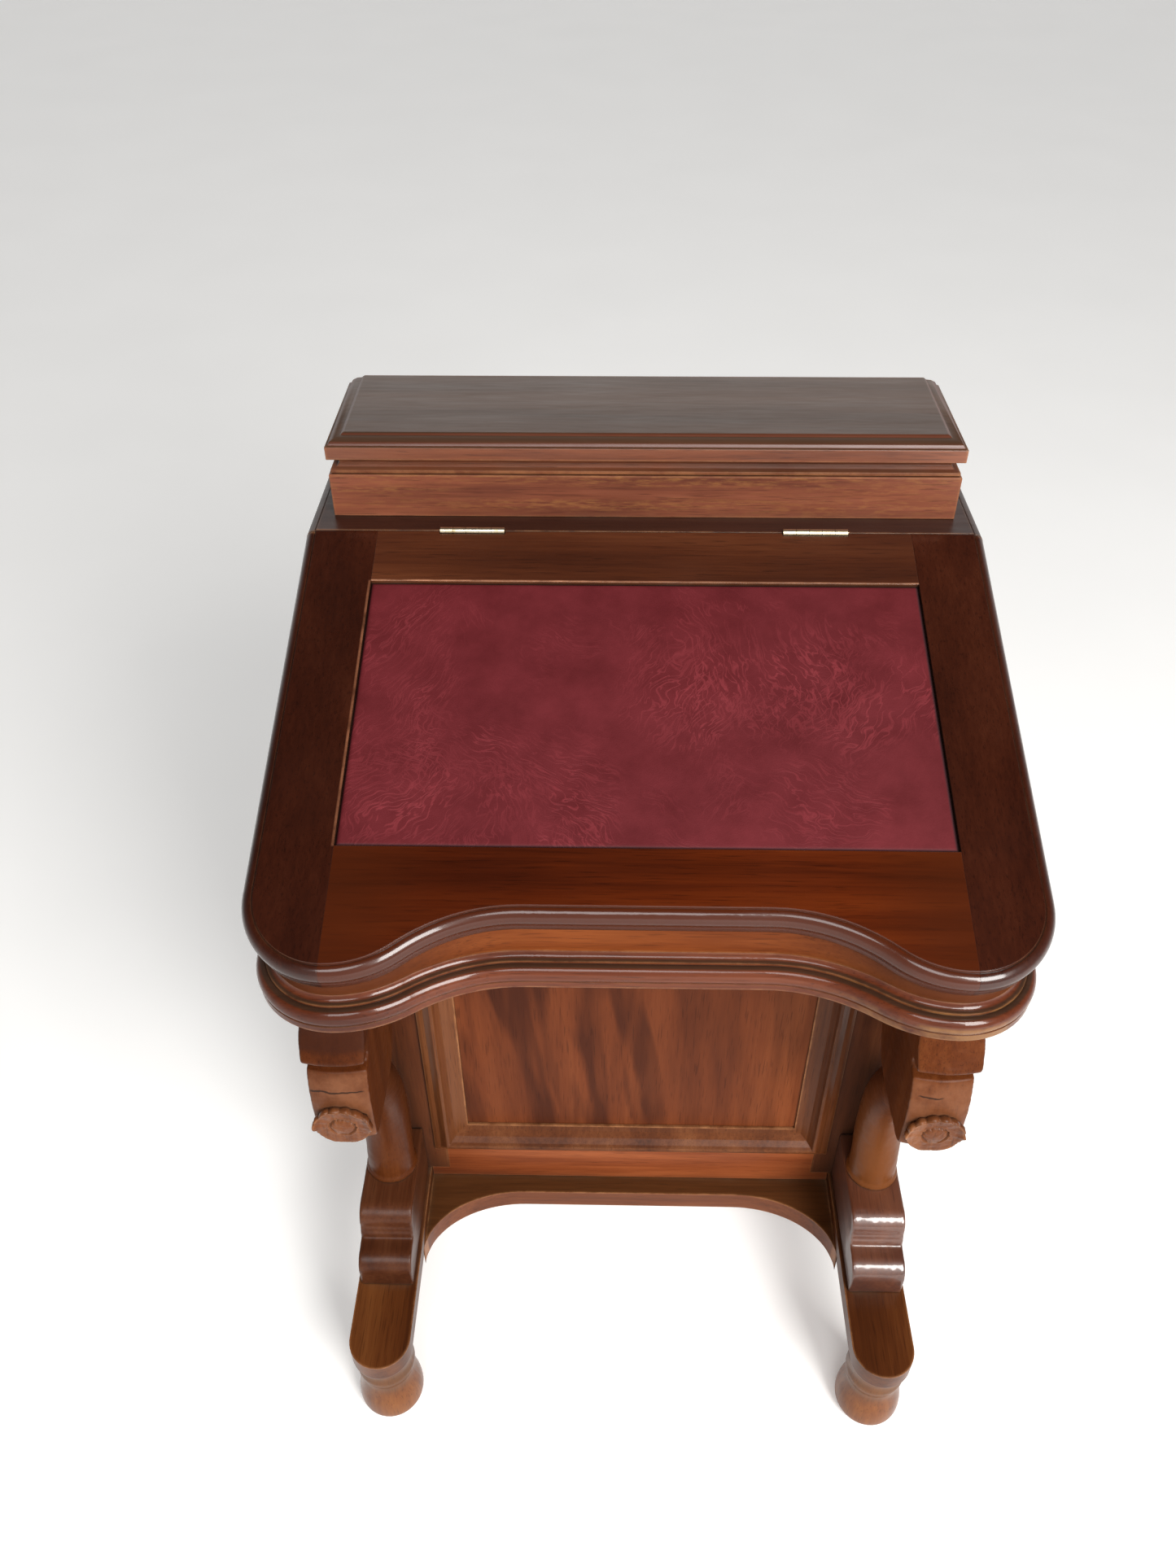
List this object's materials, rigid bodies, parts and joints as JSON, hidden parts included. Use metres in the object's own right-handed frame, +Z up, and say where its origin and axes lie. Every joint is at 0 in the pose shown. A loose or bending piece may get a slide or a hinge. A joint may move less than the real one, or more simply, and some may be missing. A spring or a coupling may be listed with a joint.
{
  "type": "writing desk",
  "caption": "Small Davenport desk: leather-inset sloping lid over a fitted well, hinged stationery box, side drawers, scrolled front supports and a knee panel.",
  "frame": {"origin": "on the floor under the middle of the desk", "axes": "+X to the right of a person sitting at the slope, towards the drawers that open, +Y to the back, +Z up"},
  "size_m": [0.5358, 0.5165, 0.8445],
  "materials": {
    "mahogany": "semi-gloss polish",
    "mahogany_dark": "semi-gloss polish",
    "mahogany_rail": "semi-gloss polish",
    "mahogany_figured": "semi-gloss polish",
    "mahogany_base": "worn polish",
    "drawer_lining": "bare, lightly waxed",
    "leather": "antiqued, creased",
    "brass": "worn polish",
    "glass": "clear"
  },
  "bodies": {
    "carcass": {"back_panel": "mahogany_figured", "base_moulding": "mahogany", "bottle_caps": "brass", "box_back": "mahogany", "box_fittings": "drawer_lining", "box_front": "mahogany", "box_hinge_fixed": "brass", "box_sides": "mahogany", "bun_feet": "mahogany", "case_back": "mahogany", "case_floor": "drawer_lining", "case_front": "mahogany", "case_side_left": "mahogany", "case_side_right": "mahogany", "dummy_fronts": "mahogany_figured", "dummy_knobs": "mahogany", "dust_boards": "drawer_lining", "front_rails": "mahogany_rail", "front_stiles": "mahogany", "ink_bottles": "glass", "knee_moulding": "mahogany", "knee_panel": "mahogany_figured", "ledge": "mahogany", "platform": "mahogany_base", "rosettes": "mahogany", "scroll_block_left": "mahogany", "scroll_block_right": "mahogany", "side_frame_left": "mahogany", "side_frame_right": "mahogany", "sledge_left": "mahogany_base", "sledge_right": "mahogany_base", "slope_hinge_fixed": "brass", "support_left": "mahogany", "support_right": "mahogany", "well_fittings": "drawer_lining"},
    "writing_lid": {"lid_stile_left": "mahogany_dark", "lid_stile_right": "mahogany_dark", "lid_rail_top": "mahogany_rail", "lid_rail_front": "mahogany_rail", "lid_panel": "drawer_lining", "leather": "leather", "slope_hinge_moving": "brass"},
    "box_lid": {"box_lid_rim": "mahogany", "box_lid_board": "mahogany", "box_hinge_moving": "brass"},
    "drawer_1": {"drawer_1_box": "drawer_lining", "drawer_1_front": "mahogany_figured", "drawer_1_knobs": "mahogany"},
    "drawer_2": {"drawer_2_box": "drawer_lining", "drawer_2_front": "mahogany_figured", "drawer_2_knobs": "mahogany"},
    "drawer_3": {"drawer_3_box": "drawer_lining", "drawer_3_front": "mahogany_figured", "drawer_3_knobs": "mahogany"},
    "drawer_4": {"drawer_4_box": "drawer_lining", "drawer_4_front": "mahogany_figured", "drawer_4_knobs": "mahogany"},
    "inner_drawer_left_body": {"inner_drawer_left": "drawer_lining"},
    "inner_drawer_right_body": {"inner_drawer_right": "drawer_lining"}
  },
  "joints": [
    {"name": "writing_lid_hinge", "type": "hinge", "parent": "carcass", "child": "writing_lid", "pos_m": [0, 0.109, 0.778], "axis": [-1, 0, 0], "range_deg": [0, 118]},
    {"name": "box_lid_hinge", "type": "hinge", "parent": "carcass", "child": "box_lid", "pos_m": [0, 0.2536, 0.8143], "axis": [-1, 0, 0], "range_deg": [0, 95]},
    {"name": "drawer_1_slide", "type": "slide", "parent": "carcass", "child": "drawer_1", "axis": [1, 0, 0], "range_m": [0, 0.3]},
    {"name": "drawer_2_slide", "type": "slide", "parent": "carcass", "child": "drawer_2", "axis": [1, 0, 0], "range_m": [0, 0.3]},
    {"name": "drawer_3_slide", "type": "slide", "parent": "carcass", "child": "drawer_3", "axis": [1, 0, 0], "range_m": [0, 0.3]},
    {"name": "drawer_4_slide", "type": "slide", "parent": "carcass", "child": "drawer_4", "axis": [1, 0, 0], "range_m": [0, 0.3]},
    {"name": "inner_drawer_left_slide", "type": "slide", "parent": "carcass", "child": "inner_drawer_left_body", "axis": [0, -1, 0], "range_m": [0, 0.085]},
    {"name": "inner_drawer_right_slide", "type": "slide", "parent": "carcass", "child": "inner_drawer_right_body", "axis": [0, -1, 0], "range_m": [0, 0.085]}
  ]
}
